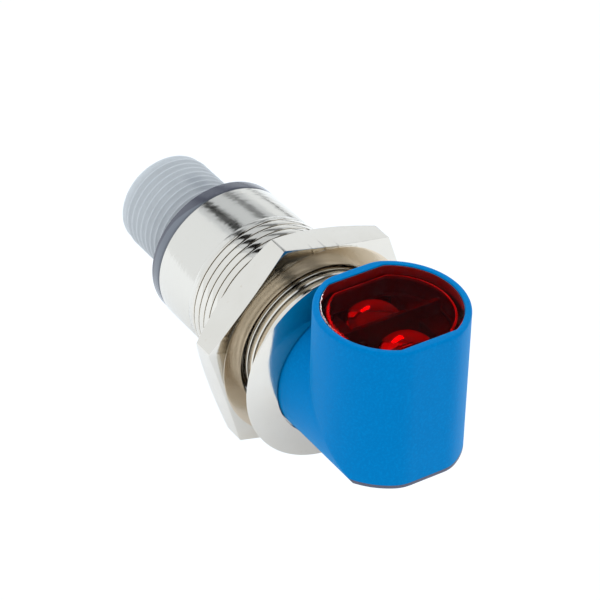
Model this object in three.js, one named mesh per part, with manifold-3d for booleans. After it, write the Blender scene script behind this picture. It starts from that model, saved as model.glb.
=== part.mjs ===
// Photoelectric sensor: threaded metal sleeve, lock nut, moulded right-angle head, threaded plug.
// Millimetres. +X runs along the sleeve towards the head, +Z is the optical axis.
// The origin is on the sleeve's axis, in the plane of the flange's rear face.
import * as THREE from 'three';
import { mergeVertices } from 'three/addons/utils/BufferGeometryUtils.js';
import Module from 'manifold-3d';

const wasm = await Module();
wasm.setup();

// ---- driving dimensions ----
const GAP = 0.3;                  // clearance between neighbouring pieces

const THREAD_R = 8.95;            // M18 x 1 thread, outside radius
const SLEEVE_R = 8.75;            // plain rear stretch of the sleeve
const SLEEVE_BORE_R = 7.4;
const SLEEVE_REAR_X = -23.1;
const THREAD_REAR_X = -15.9;
const THREAD_RUN_OUT = 0.4;       // length of the cone at the thread's rear end
const FLANGE_R = 11.75;
const FLANGE_THICK = 1;
const FLANGE_SEAT_X = 0.4;        // floor of the flange's counterbore, which the head sits in
const FLANGE_FRONT_BREAK = 0.25;  // broken edges of the turned parts
const SMALL_BREAK = 0.15;

const NUT_FLATS = 24;             // across flats
const NUT_THICK = 4;
const NUT_FRONT_X = -4.5;
const NUT_BORE_R = 9.25;
const NUT_FACE_R = 11.6;          // turned circle on both faces, where the corner chamfers start
const NUT_FRONT_SLOPE = 8;        // chamfer angles of the corners, degrees
const NUT_REAR_SLOPE = 27;
const NUT_BORE_BREAK = 0.35;
const NUT_TURN = 47.6;            // first corner's angle from +Y towards +Z, degrees

const RING_R = 8.66;              // light ring
const RING_REAR_X = -24.9;
const RING_FRONT_BREAK = 0.3;
const RING_REAR_BREAK = 0.2;

const PLUG_R = 5.95;              // M12 x 1 thread, outside radius
const PLUG_BORE_R = 4.35;
const PLUG_END_X = -36.7;
const PLUG_SOCKET_DEPTH = 7.5;
const PLUG_STEM_R = 6.1;
const PLUG_SPIGOT_R = 7.1;
const PLUG_SPIGOT_FRONT_X = -18.6;
const PLUG_SPIGOT_BORE_R = 5.3;
const PLUG_END_BREAK = 0.7;
const PLUG_BORE_BREAK = 0.3;
const CARRIER_STEP_X = -26;       // step inside the plug where the contact carrier seats
const CARRIER_FRONT_X = -22;
const CARRIER_R = 4.9;
const KEY_WIDTH = 0.9;
const KEY_HEIGHT = 0.55;

const PIN_R = 0.5;
const PIN_CIRCLE_R = 2.5;
const PIN_TIP_X = -35.6;
const PIN_TAIL_X = -19.8;
const PIN_TAIL_R = 0.3;

const GROOVE_DEPTH = 1;           // seal grooves in the plug's spigot and the head's spigot
const REAR_GROOVE = [-21.7, -20.2];
const HEAD_GROOVE = [-2.7, -1.2];
const SEAL_SECTION_R = 0.5;

const HEAD_X = 9.34;              // optical axis of the head along the sleeve axis
const HEAD_R = 8.31;              // plan: a circle cut by two flats across the sleeve axis
const HEAD_HALF = 7.79;
const HEAD_TOP_Z = 13.29;
const HEAD_BOTTOM_Z = -4.34;
const COVER_THICK = 0.45;
const WINDOW_R = 7.56;            // recess in the head's top
const WINDOW_HALF = 6.73;
const LEDGE_Z = 9.2;
const CAVITY_R = 6.95;
const CAVITY_HALF = 6.15;
const SPIGOT_R = 7.05;            // head's spigot in the sleeve
const SPIGOT_REAR_X = -3.6;
const SPIGOT_BORE_R = 5.2;
const NECK_REAR_X = 0.5;
const LYING_CAVITY_R = 7;         // round of the cavity below the sleeve's axis

const LENS_R = 3.2;
const LENS_HALF = 2.8;            // the round lenses are cut straight on the sides facing along X
const LENS_OFFSET = 3.12;         // each lens lies this far from the head's centre along X
const LENS_RIM_Z = 9.1;
const BOARD_Z = 0.9;              // optics board, underside
const BOARD_THICK = 0.9;

const ROUND = 60;                 // segments of a large round

// ---- materials ----
function material(color, roughness, metalness) {
  return new THREE.MeshStandardMaterial({ color, roughness, metalness });
}

const nickel = () => material(0xd6d5d1, 0.28, 1);
const gold = () => material(0xd8b25a, 0.3, 1);
const blueShell = () => material(0x0a84cc, 0.5, 0);
const milkyGrey = () => material(0xb9bfc4, 0.4, 0);
const smokeGrey = () => material(0x6c7280, 0.35, 0);
const darkGrey = () => material(0x4b4d57, 0.55, 0);
const blackMatt = () => material(0x101012, 0.6, 0);
const rubber = () => material(0x1a1a1c, 0.8, 0);
const boardGreen = () => material(0x1e5a34, 0.5, 0);
const clear = () => material(0xe8eef0, 0.08, 0);
const flexAmber = () => material(0xb06a1c, 0.5, 0);
const capacitorTan = () => material(0xa88f6a, 0.5, 0);
const paleGreen = () => material(0x9fd8a6, 0.3, 0);
const paleYellow = () => material(0xe8d888, 0.3, 0);

function redWindow() {
  const red = material(0x8c0a10, 0.08, 0);
  red.transparent = true;
  red.opacity = 0.55;
  return red;
}

// ---- shape helpers ----
function solidOf(geometry) {
  const bare = geometry.clone();
  bare.deleteAttribute('normal');
  bare.deleteAttribute('uv');
  const merged = mergeVertices(bare, 1e-4);
  return new wasm.Manifold(new wasm.Mesh({
    numProp: 3,
    vertProperties: merged.attributes.position.array,
    triVerts: new Uint32Array(merged.index.array),
  }));
}

function geometryOf(solid) {
  const mesh = solid.getMesh();
  const geometry = new THREE.BufferGeometry();
  geometry.setAttribute('position', new THREE.BufferAttribute(mesh.vertProperties, 3));
  geometry.setIndex(new THREE.BufferAttribute(mesh.triVerts, 1));
  geometry.computeVertexNormals();
  return geometry;
}

// A solid of revolution about X. The profile is a closed loop of [x, radius] points: forwards inside,
// back outside.
function turned(profile, segments = ROUND) {
  const loop = [...profile, profile[0]].reverse();
  const points = loop.map(([x, radius]) => new THREE.Vector2(radius, x));
  const geometry = new THREE.LatheGeometry(points, segments);
  geometry.rotateZ(-Math.PI / 2);
  return solidOf(geometry);
}

// A solid round about X.
function rod(xRear, xFront, radius, segments = ROUND) {
  const geometry = new THREE.CylinderGeometry(radius, radius, xFront - xRear, segments);
  geometry.rotateZ(Math.PI / 2);
  geometry.translate((xRear + xFront) / 2, 0, 0);
  return solidOf(geometry);
}

// An upright round about Z.
function post(x, y, zLow, zHigh, radius, segments = 48) {
  const geometry = new THREE.CylinderGeometry(radius, radius, zHigh - zLow, segments);
  geometry.rotateX(Math.PI / 2);
  geometry.translate(x, y, (zLow + zHigh) / 2);
  return solidOf(geometry);
}

function block(x0, x1, y0, y1, z0, z1) {
  const geometry = new THREE.BoxGeometry(x1 - x0, y1 - y0, z1 - z0);
  geometry.translate((x0 + x1) / 2, (y0 + y1) / 2, (z0 + z1) / 2);
  return solidOf(geometry);
}

// The head's plan, a circle cut by two flats, raised between two heights.
function headPlan(radius, half, zLow, zHigh) {
  const turn = Math.acos(half / radius);
  const shape = new THREE.Shape();
  shape.moveTo(half, -radius * Math.sin(turn));
  shape.absarc(0, 0, radius, turn, Math.PI - turn, false);
  shape.absarc(0, 0, radius, Math.PI + turn, 2 * Math.PI - turn, false);
  const geometry = new THREE.ExtrudeGeometry(shape, {
    depth: zHigh - zLow,
    bevelEnabled: false,
    curveSegments: 18,
  });
  geometry.translate(HEAD_X, 0, zLow);
  return solidOf(geometry);
}

const group = new THREE.Group();

function place(name, solid, look) {
  const mesh = new THREE.Mesh(geometryOf(solid), look);
  mesh.name = name;
  group.add(mesh);
  return mesh;
}

// ---- threaded sleeve with its flange ----
function sleeve() {
  const counterboreR = HEAD_R + GAP;
  return turned([
    [SLEEVE_REAR_X, SLEEVE_BORE_R],
    [FLANGE_SEAT_X, SLEEVE_BORE_R],
    [FLANGE_SEAT_X, counterboreR],
    [FLANGE_THICK, counterboreR],
    [FLANGE_THICK, FLANGE_R - FLANGE_FRONT_BREAK],
    [FLANGE_THICK - FLANGE_FRONT_BREAK, FLANGE_R],
    [SMALL_BREAK, FLANGE_R],
    [0, FLANGE_R - SMALL_BREAK],
    [0, THREAD_R],
    [THREAD_REAR_X + THREAD_RUN_OUT, THREAD_R],
    [THREAD_REAR_X, SLEEVE_R],
    [SLEEVE_REAR_X + SMALL_BREAK, SLEEVE_R],
    [SLEEVE_REAR_X, SLEEVE_R - SMALL_BREAK],
  ]);
}

// ---- lock nut: a hexagon bar turned on both faces ----
function nut() {
  const corner = NUT_FLATS / 2 / Math.cos(Math.PI / 6);
  const rear = NUT_FRONT_X - NUT_THICK;
  const hexagon = new THREE.CylinderGeometry(corner, corner, NUT_THICK, 6);
  hexagon.rotateZ(-Math.PI / 2);
  // laid along X the bar's first corner points along +Z, and NUT_TURN counts from +Y
  hexagon.rotateX(THREE.MathUtils.degToRad(NUT_TURN - 90));
  hexagon.translate(NUT_FRONT_X - NUT_THICK / 2, 0, 0);
  const reach = corner + 1;
  const frontDrop = (reach - NUT_FACE_R) * Math.tan(THREE.MathUtils.degToRad(NUT_FRONT_SLOPE));
  const rearDrop = (reach - NUT_FACE_R) * Math.tan(THREE.MathUtils.degToRad(NUT_REAR_SLOPE));
  const envelope = turned([
    [rear, NUT_BORE_R + NUT_BORE_BREAK],
    [rear + NUT_BORE_BREAK, NUT_BORE_R],
    [NUT_FRONT_X - NUT_BORE_BREAK, NUT_BORE_R],
    [NUT_FRONT_X, NUT_BORE_R + NUT_BORE_BREAK],
    [NUT_FRONT_X, NUT_FACE_R],
    [NUT_FRONT_X - frontDrop, reach],
    [rear + rearDrop, reach],
    [rear, NUT_FACE_R],
  ]);
  return solidOf(hexagon).intersect(envelope);
}

// ---- light ring: smoke-grey collar between the plug and the sleeve ----
function lightRing() {
  const front = SLEEVE_REAR_X - 0.1;
  const inner = PLUG_STEM_R + GAP;
  return turned([
    [RING_REAR_X, inner],
    [front, inner],
    [front, RING_R - RING_FRONT_BREAK],
    [front - RING_FRONT_BREAK, RING_R],
    [RING_REAR_X + RING_REAR_BREAK, RING_R],
    [RING_REAR_X, RING_R - RING_REAR_BREAK],
  ]);
}

// ---- plug shell: M12 nipple outside, stem and spigot inside the sleeve ----
function plugShell() {
  const stemX = RING_REAR_X - 0.2;
  const spigotX = SLEEVE_REAR_X + GAP;
  const grooveR = PLUG_SPIGOT_R - GROOVE_DEPTH;
  const [grooveRear, grooveFront] = REAR_GROOVE;
  const shell = turned([
    [PLUG_END_X, PLUG_BORE_R + PLUG_BORE_BREAK],
    [PLUG_END_X + PLUG_BORE_BREAK, PLUG_BORE_R],
    [CARRIER_STEP_X, PLUG_BORE_R],
    [CARRIER_STEP_X, PLUG_SPIGOT_BORE_R],
    [PLUG_SPIGOT_FRONT_X, PLUG_SPIGOT_BORE_R],
    [PLUG_SPIGOT_FRONT_X, PLUG_SPIGOT_R],
    [grooveFront, PLUG_SPIGOT_R],
    [grooveFront, grooveR],
    [grooveRear, grooveR],
    [grooveRear, PLUG_SPIGOT_R],
    [spigotX, PLUG_SPIGOT_R],
    [spigotX, PLUG_STEM_R],
    [stemX, PLUG_STEM_R],
    [stemX - SMALL_BREAK, PLUG_R],
    [PLUG_END_X + PLUG_END_BREAK, PLUG_R],
    [PLUG_END_X, PLUG_R - PLUG_END_BREAK],
  ], 48);
  const keyRear = PLUG_END_X + 0.8;
  const keyFront = PLUG_END_X + PLUG_SOCKET_DEPTH - GAP;
  const keyHalf = KEY_WIDTH / 2;
  const keyRoot = PLUG_BORE_R + 0.4;
  return shell.add(block(keyRear, keyFront, -keyHalf, keyHalf, PLUG_BORE_R - KEY_HEIGHT, keyRoot));
}

// ---- contact carrier: insulating disc that holds the four pins ----
const PIN_PLACES = [45, 135, 225, 315].map((degrees) => {
  const angle = THREE.MathUtils.degToRad(degrees);
  return [PIN_CIRCLE_R * Math.cos(angle), PIN_CIRCLE_R * Math.sin(angle)];
});

function contactCarrier() {
  const face = PLUG_END_X + PLUG_SOCKET_DEPTH;
  const step = CARRIER_STEP_X + SMALL_BREAK;
  const noseR = PLUG_BORE_R - SMALL_BREAK;
  const holeR = PIN_R + 0.1;
  let carrier = turned([
    [face, 0],
    [CARRIER_FRONT_X, 0],
    [CARRIER_FRONT_X, CARRIER_R],
    [step, CARRIER_R],
    [step, noseR],
    [face, noseR],
  ], 36);
  for (const [y, z] of PIN_PLACES) {
    carrier = carrier.subtract(rod(face - 1, CARRIER_FRONT_X + 1, holeR, 16).translate([0, y, z]));
  }
  return carrier;
}

// ---- contact pins: turned brass, gold plated, with a rounded tip and a thin solder tail ----
function contactPin(y, z) {
  const tailStart = CARRIER_FRONT_X + 0.4;
  return turned([
    [PIN_TIP_X, 0],
    [PIN_TAIL_X, 0],
    [PIN_TAIL_X, PIN_TAIL_R],
    [tailStart, PIN_TAIL_R],
    [tailStart, PIN_R],
    [PIN_TIP_X + 0.45, PIN_R],
    [PIN_TIP_X + 0.12, PIN_R * 0.6],
  ], 16).translate([0, y, z]);
}

// ---- round seals, each lying in its groove and touching the sleeve's bore ----
function sealRing([grooveRear, grooveFront]) {
  const geometry = new THREE.TorusGeometry(SLEEVE_BORE_R - SEAL_SECTION_R - 0.18, SEAL_SECTION_R, 8, 32);
  geometry.rotateY(Math.PI / 2);
  geometry.translate((grooveRear + grooveFront) / 2, 0, 0);
  return solidOf(geometry);
}

// ---- head housing: upright body over a round neck, open at the top, bottom and neck ----
function headHousing() {
  const floorZ = HEAD_BOTTOM_Z + COVER_THICK + 0.05;
  const rear = -10;
  const front = HEAD_X + 30;
  const side = 20;
  const above = block(rear, front, -side, side, 0, 40);
  const upright = headPlan(HEAD_R, HEAD_HALF, floorZ, HEAD_TOP_Z);
  const body = upright.intersect(rod(rear, front, HEAD_R).add(above));
  const neck = rod(NECK_REAR_X, HEAD_X - HEAD_HALF + 0.6, HEAD_R);
  const shoulder = rod(NECK_REAR_X, HEAD_X, HEAD_R).intersect(block(0, front, -side, side, floorZ, side));
  const [grooveRear, grooveFront] = HEAD_GROOVE;
  const spigotFront = 2;
  const spigot = turned([
    [SPIGOT_REAR_X, 0],
    [spigotFront, 0],
    [spigotFront, SPIGOT_R],
    [grooveFront, SPIGOT_R],
    [grooveFront, SPIGOT_R - GROOVE_DEPTH],
    [grooveRear, SPIGOT_R - GROOVE_DEPTH],
    [grooveRear, SPIGOT_R],
    [SPIGOT_REAR_X, SPIGOT_R],
  ], 48);
  const recess = headPlan(WINDOW_R, WINDOW_HALF, LEDGE_Z, HEAD_TOP_Z + 1);
  const cavity = headPlan(CAVITY_R, CAVITY_HALF, HEAD_BOTTOM_Z - 1, LEDGE_Z + 1)
    .intersect(rod(rear, front, LYING_CAVITY_R).add(above));
  const neckFloorZ = floorZ + 0.8;
  const neckBore = rod(SPIGOT_REAR_X - 1, HEAD_X - 3, SPIGOT_BORE_R, 48)
    .intersect(block(rear, front, -side, side, neckFloorZ, side));
  const shell = body.add(neck).add(shoulder).add(spigot);
  return shell.subtract(recess).subtract(cavity).subtract(neckBore);
}

// ---- bottom cover: thin plate closing the head's underside, with a lip inside the cavity ----
function bottomCover() {
  const low = HEAD_BOTTOM_Z;
  const high = HEAD_BOTTOM_Z + COVER_THICK;
  const halfWidth = Math.sqrt(HEAD_R * HEAD_R - HEAD_BOTTOM_Z * HEAD_BOTTOM_Z);
  const rear = HEAD_X - HEAD_HALF + 0.85;
  const plate = headPlan(HEAD_R, HEAD_HALF, low, high)
    .add(block(rear, HEAD_X, -halfWidth, halfWidth, low, high))
    .intersect(block(rear, HEAD_X + HEAD_R, -halfWidth, halfWidth, low, high));
  const lipGap = 0.2;
  const lip = headPlan(CAVITY_R - lipGap, CAVITY_HALF - lipGap, low, high + 0.6)
    .intersect(rod(0, HEAD_X + HEAD_R, LYING_CAVITY_R - lipGap));
  return plate.add(lip);
}

// ---- window: red clear cap, a plate with a skirt all round ----
const WINDOW_TOP_Z = HEAD_TOP_Z - 0.3;
const WINDOW_PLATE = 1.1;
const WINDOW_GAP = 0.12;
const SKIRT_THICK = 0.6;

function windowCap() {
  const inset = WINDOW_GAP + SKIRT_THICK;
  const underside = WINDOW_TOP_Z - WINDOW_PLATE;
  const outer = headPlan(WINDOW_R - WINDOW_GAP, WINDOW_HALF - WINDOW_GAP, LEDGE_Z + 0.1, WINDOW_TOP_Z);
  const inner = headPlan(WINDOW_R - inset, WINDOW_HALF - inset, LEDGE_Z - 1, underside);
  return outer.subtract(inner);
}

// ---- optics carrier: black block with two lens wells, two light channels and the divider ----
const LENS_PLACES = [HEAD_X - LENS_OFFSET, HEAD_X + LENS_OFFSET];
const CARRIER_GAP = 0.25;
const CARRIER_TOP_Z = LENS_RIM_Z - 0.95;
const EAR_TOP_Z = 9.9;
const POLARISER_Z = 7.6;
const POLARISER_R = 2.5;
const CHANNEL_R = 2.1;
const DIVIDER_HALF = 0.22;

// The plan of one lens, raised between two heights.
function lensPlan(x, zLow, zHigh) {
  const side = 2 * LENS_R;
  return post(x, 0, zLow, zHigh, LENS_R, 28)
    .intersect(block(x - LENS_HALF, x + LENS_HALF, -side, side, zLow, zHigh));
}

function opticsCarrier() {
  const earY = LENS_R + GAP;
  const far = 2 * HEAD_X;
  const dividerTopZ = WINDOW_TOP_Z - WINDOW_PLATE - 0.2;
  const dividerY = CAVITY_HALF - 0.05;
  const channelLow = BOARD_Z + BOARD_THICK + 0.2;
  const wellFloorZ = POLARISER_Z - 0.1;
  const ears = headPlan(CAVITY_R - 0.75, CAVITY_HALF - 0.75, CARRIER_TOP_Z - 1, EAR_TOP_Z)
    .subtract(block(0, far, -earY, earY, 0, far));
  const divider = block(HEAD_X - DIVIDER_HALF, HEAD_X + DIVIDER_HALF, -dividerY, dividerY,
    CARRIER_TOP_Z - 0.5, dividerTopZ);
  let base = headPlan(CAVITY_R - CARRIER_GAP, CAVITY_HALF - CARRIER_GAP, channelLow, CARRIER_TOP_Z);
  for (const x of LENS_PLACES) {
    base = base.subtract(post(x, 0, wellFloorZ, far, POLARISER_R + 0.1, 32));
    base = base.subtract(post(x, 0, 0, far, CHANNEL_R, 32));
  }
  return base.add(ears).add(divider);
}

// ---- lenses: flat below, a thin rim, domed above ----
function lens(x) {
  const domeHeight = 1.9;
  const rimThick = 0.8;
  const ballR = (LENS_R * LENS_R + domeHeight * domeHeight) / (2 * domeHeight);
  const ball = new THREE.SphereGeometry(ballR, 28, 20);
  ball.rotateX(Math.PI / 2);
  ball.translate(x, 0, LENS_RIM_Z + domeHeight - ballR);
  const dome = solidOf(ball).intersect(lensPlan(x, LENS_RIM_Z - 0.01, HEAD_TOP_Z));
  return dome.add(lensPlan(x, LENS_RIM_Z - rimThick, LENS_RIM_Z));
}

// ---- polarising films: thin discs in the wells under the lenses ----
function polariser(x) {
  return post(x, 0, POLARISER_Z, POLARISER_Z + 0.3, POLARISER_R, 32);
}

// ---- flexible link between the main board and the optics board ----
function flexLink() {
  const path = new THREE.CatmullRomCurve3([
    new THREE.Vector3(-7, 0, 0.7),
    new THREE.Vector3(-2, 0, 0.75),
    new THREE.Vector3(2.4, 0, -0.6),
    new THREE.Vector3(5.6, 0, -1.1),
    new THREE.Vector3(7.4, 0, -0.2),
    new THREE.Vector3(8.2, 0, 0.45),
  ]);
  const halfWidth = 2.4;
  const halfThick = 0.1;
  const strip = new THREE.Shape();
  strip.moveTo(-halfWidth, -halfThick);
  strip.lineTo(halfWidth, -halfThick);
  strip.lineTo(halfWidth, halfThick);
  strip.lineTo(-halfWidth, halfThick);
  strip.closePath();
  return solidOf(new THREE.ExtrudeGeometry(strip, { steps: 16, extrudePath: path }));
}

// ---- small parts on the boards: a block standing on a board or hanging under it ----
const SOLDER_GAP = 0.05;

function onBoard(surfaceZ, x, y, length, width, height) {
  const low = surfaceZ + SOLDER_GAP;
  return block(x - length / 2, x + length / 2, y - width / 2, y + width / 2, low, low + height);
}

function underBoard(surfaceZ, x, y, length, width, height) {
  return onBoard(surfaceZ - height - 2 * SOLDER_GAP, x, y, length, width, height);
}

// ---- assembly ----
place('sleeve', sleeve(), nickel());
place('lock_nut', nut(), nickel());
place('light_ring', lightRing(), smokeGrey());
place('plug_shell', plugShell(), milkyGrey());
place('contact_carrier', contactCarrier(), darkGrey());
PIN_PLACES.forEach(([y, z], index) => {
  place(`contact_pin_${index + 1}`, contactPin(y, z), gold());
});
place('rear_seal', sealRing(REAR_GROOVE), rubber());
place('head_seal', sealRing(HEAD_GROOVE), rubber());
place('head_housing', headHousing(), blueShell());
place('bottom_cover', bottomCover(), darkGrey());
place('window', windowCap(), redWindow());
place('optics_carrier', opticsCarrier(), blackMatt());

const [SENDER_X, RECEIVER_X] = LENS_PLACES;
place('sender_lens', lens(SENDER_X), clear());
place('receiver_lens', lens(RECEIVER_X), clear());
place('sender_polariser', polariser(SENDER_X), blackMatt());
place('receiver_polariser', polariser(RECEIVER_X), blackMatt());

const BOARD_TOP_Z = BOARD_Z + BOARD_THICK;
const BOARD_INSET = 0.45;
const boardPlan = headPlan(CAVITY_R - BOARD_INSET, CAVITY_HALF - BOARD_INSET, BOARD_Z, BOARD_TOP_Z);
place('optics_board', boardPlan, boardGreen());
place('sender_led', onBoard(BOARD_TOP_Z, SENDER_X, 0, 1.6, 1.6, 0.95), clear());
place('receiver_chip', onBoard(BOARD_TOP_Z, RECEIVER_X, 0, 2.2, 2.2, 0.85), blackMatt());
place('flex_link', flexLink(), flexAmber());

// main board, lying in the sleeve, and what is soldered on it
const MAIN_TOP_Z = 0.5;
const INDICATOR_X = -17;
const CAPACITOR_X = -6.6;
place('main_board', block(-18.2, -4, -5.6, 5.6, -MAIN_TOP_Z, MAIN_TOP_Z), boardGreen());
place('controller_chip', onBoard(MAIN_TOP_Z, -11.7, 0, 4.6, 4.6, 0.95), blackMatt());
place('regulator', underBoard(-MAIN_TOP_Z, -14.65, 2.9, 1.9, 3, 1.15), blackMatt());
place('output_driver', underBoard(-MAIN_TOP_Z, -9.5, 0, 4, 4, 1.35), blackMatt());
place('capacitor_1', onBoard(MAIN_TOP_Z, CAPACITOR_X, -3.8, 3.2, 1.6, 1.45), capacitorTan());
place('capacitor_2', onBoard(MAIN_TOP_Z, CAPACITOR_X, 3.8, 3.2, 1.6, 1.45), capacitorTan());
place('indicator_green', onBoard(MAIN_TOP_Z, INDICATOR_X, -4, 1.6, 0.8, 0.7), paleGreen());
place('indicator_yellow', onBoard(MAIN_TOP_Z, INDICATOR_X, 4, 1.6, 0.8, 0.7), paleYellow());

export default group;
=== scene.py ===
import math

import bmesh
import bpy
from mathutils import Matrix, Vector, noise


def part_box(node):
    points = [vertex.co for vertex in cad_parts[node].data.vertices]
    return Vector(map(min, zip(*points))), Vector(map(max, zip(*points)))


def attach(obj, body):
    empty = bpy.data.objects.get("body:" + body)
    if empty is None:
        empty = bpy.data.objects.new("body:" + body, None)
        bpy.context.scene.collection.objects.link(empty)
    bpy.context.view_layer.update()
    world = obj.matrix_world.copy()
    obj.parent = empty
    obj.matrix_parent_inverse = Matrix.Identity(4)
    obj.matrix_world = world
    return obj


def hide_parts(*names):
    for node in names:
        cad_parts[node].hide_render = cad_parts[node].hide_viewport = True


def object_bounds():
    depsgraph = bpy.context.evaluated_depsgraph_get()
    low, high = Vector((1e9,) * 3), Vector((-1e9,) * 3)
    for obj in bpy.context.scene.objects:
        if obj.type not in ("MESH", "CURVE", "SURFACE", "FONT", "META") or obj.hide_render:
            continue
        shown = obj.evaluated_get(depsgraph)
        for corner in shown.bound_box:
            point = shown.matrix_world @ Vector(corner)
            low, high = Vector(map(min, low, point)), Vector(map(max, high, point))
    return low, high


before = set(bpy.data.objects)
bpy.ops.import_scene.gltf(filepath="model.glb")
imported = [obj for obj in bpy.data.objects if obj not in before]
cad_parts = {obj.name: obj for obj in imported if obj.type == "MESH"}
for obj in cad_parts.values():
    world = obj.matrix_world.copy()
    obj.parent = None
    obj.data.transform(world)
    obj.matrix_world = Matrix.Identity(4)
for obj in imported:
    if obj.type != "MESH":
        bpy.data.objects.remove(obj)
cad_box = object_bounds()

mm = 0.001

# ---- Studio -----------------------------------------------------------------------------------
# The sensor is held up in the air over a white sweep, under an even white sky with one softbox and
# a lamp for the optics. The table below and the ceiling with its dark beams only show as reflections.


class Wire:
    """A socket in a material's node tree. Arithmetic on it adds Math nodes."""

    def __init__(self, tree, socket=None):
        self.tree = tree
        self.socket = socket

    def node(self, kind, settings, inputs, output=0):
        """Adds any other node: its settings go first, then the values or links of its sockets."""
        made = self.tree.nodes.new(kind)
        for name, value in settings.items():
            setattr(made, name, value)
        for name, value in inputs.items():
            if isinstance(value, Wire):
                self.tree.links.new(value.socket, made.inputs[name])
            else:
                made.inputs[name].default_value = value
        return Wire(self.tree, made.outputs[output])

    def maths(self, operation, *values):
        return self.node("ShaderNodeMath", {"operation": operation}, dict(enumerate(values)))

    def __add__(self, other):
        return self.maths("ADD", self, other)

    def __sub__(self, other):
        return self.maths("SUBTRACT", self, other)

    def __rsub__(self, other):
        return self.maths("SUBTRACT", other, self)

    def __mul__(self, other):
        return self.maths("MULTIPLY", self, other)

    __radd__ = __add__
    __rmul__ = __mul__


class Finish:
    """One material: its shader's fixed sockets, and what is fed into the others."""

    def __init__(self, name, fixed):
        self.material = bpy.data.materials.new(name)
        self.material.use_nodes = True
        self.tree = self.material.node_tree
        self.shader = self.tree.nodes["Principled BSDF"]
        for socket, value in fixed.items():
            self.shader.inputs[socket].default_value = value
        self.start = Wire(self.tree)
        self.place = self.start.node("ShaderNodeTexCoord", {}, {}, "Object")

    def feed(self, socket, wire):
        self.tree.links.new(wire.socket, self.shader.inputs[socket])

    def axes(self):
        """The x, y and z of a point of the piece, in metres, in the sensor's frame."""
        return [self.start.node("ShaderNodeSeparateXYZ", {}, {"Vector": self.place}, axis) for axis in "XYZ"]

    def noise(self, scale, detail=2.0, stretch=(1, 1, 1), rough=0.5):
        """Cloudy noise from 0 to 1; scale is in features a metre, and stretch squeezes it along an axis."""
        at = self.start.node("ShaderNodeVectorMath", {"operation": "MULTIPLY"}, {0: self.place, 1: stretch})
        return self.start.node("ShaderNodeTexNoise", {},
                               {"Vector": at, "Scale": scale, "Detail": detail, "Roughness": rough})

    def between(self, wire, low, high):
        """0 where wire is below low, 1 above high, and a smooth step between them."""
        return self.start.node("ShaderNodeMapRange", {"interpolation_type": "SMOOTHSTEP"},
                               {"Value": wire, "From Min": low, "From Max": high})

    def mix(self, factor, first, second):
        """A colour from first to second."""
        def colour(value):
            return value if isinstance(value, Wire) else (*value, 1.0)
        return self.start.node("ShaderNodeMix", {"data_type": "RGBA"},
                               {0: factor, 6: colour(first), 7: colour(second)}, 2)

    def bump(self, height, distance, strength=1.0):
        relief = self.start.node("ShaderNodeBump", {},
                                 {"Height": height, "Distance": distance, "Strength": strength})
        self.feed("Normal", relief)


def flat_sheet(name, centre, size, look):
    """A level rectangle of the studio, facing up."""
    sheet = bpy.data.meshes.new(name)
    half_x, half_y = size[0] / 2, size[1] / 2
    corners = [(-half_x, -half_y, 0), (half_x, -half_y, 0), (half_x, half_y, 0), (-half_x, half_y, 0)]
    sheet.from_pydata(corners, [], [(0, 1, 2, 3)])
    sheet.materials.append(look.material)
    thing = bpy.data.objects.new(name, sheet)
    thing.location = centre
    bpy.context.scene.collection.objects.link(thing)
    return thing


def reflection_only(thing):
    thing.visible_camera = False
    thing.visible_diffuse = False
    thing.visible_shadow = False
    thing.visible_transmission = False


sweep_paper = Finish("sweep_paper", {"Base Color": (0.93, 0.93, 0.93, 1), "Roughness": 0.9})
paper_fibre = sweep_paper.noise(220, 3.0)
sweep_paper.feed("Base Color", sweep_paper.mix(paper_fibre, (0.92, 0.92, 0.92), (0.95, 0.95, 0.95)))
floor = flat_sheet("floor", (0, 0, -0.30), (12, 12), sweep_paper)
floor.visible_glossy = False

# a white table just under the sensor, which only the polished metal and the clear parts see
table_card = Finish("table_card", {"Roughness": 1.0, "Specular IOR Level": 0.0,
                                   "Emission Color": (1.0, 1.0, 1.0, 1), "Emission Strength": 0.26})
table_fibre = table_card.noise(160, 2.0)
table_card.feed("Base Color", table_card.mix(table_fibre, (0.86, 0.88, 0.91), (0.90, 0.92, 0.94)))
reflection_only(flat_sheet("table_card", (0, 0, cad_box[0].z - 0.4 * mm), (2.4, 2.4), table_card))

# a grey ceiling with one black beam straight above the sensor and a wider dim one behind it
ceiling_card = Finish("ceiling_card", {"Roughness": 1.0, "Specular IOR Level": 0.0})
ceiling_y = ceiling_card.axes()[1]
ceiling_fibre = ceiling_card.noise(9, 3.0)
near_beam = (ceiling_card.between(ceiling_y, -0.38, -0.35)
             * (1 - ceiling_card.between(ceiling_y, -0.26, -0.23)))
far_beam = ceiling_card.between(ceiling_y, 0.00, 0.05) * (1 - ceiling_card.between(ceiling_y, 0.17, 0.24))
ceiling_tone = ceiling_card.mix(ceiling_fibre, (0.70, 0.71, 0.73), (0.86, 0.87, 0.88))
ceiling_tone = ceiling_card.mix(0.75 * far_beam, ceiling_tone, (0.05, 0.05, 0.05))
ceiling_card.feed("Base Color", ceiling_card.mix(near_beam, ceiling_tone, (0.008, 0.007, 0.006)))
reflection_only(flat_sheet("ceiling_card", (-1.0, 0.30, 0.55), (4.0, 0.92), ceiling_card))

# a black bench on the far side, level with the sensor
bench_card = Finish("bench_card", {"Roughness": 1.0, "Specular IOR Level": 0.0})
bench_fibre = bench_card.noise(40, 2.0)
bench_card.feed("Base Color", bench_card.mix(bench_fibre, (0.03, 0.03, 0.03), (0.07, 0.065, 0.06)))
reflection_only(flat_sheet("bench_card", (-1.0, 0.80, 0.15), (4.0, 0.36), bench_card))

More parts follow.
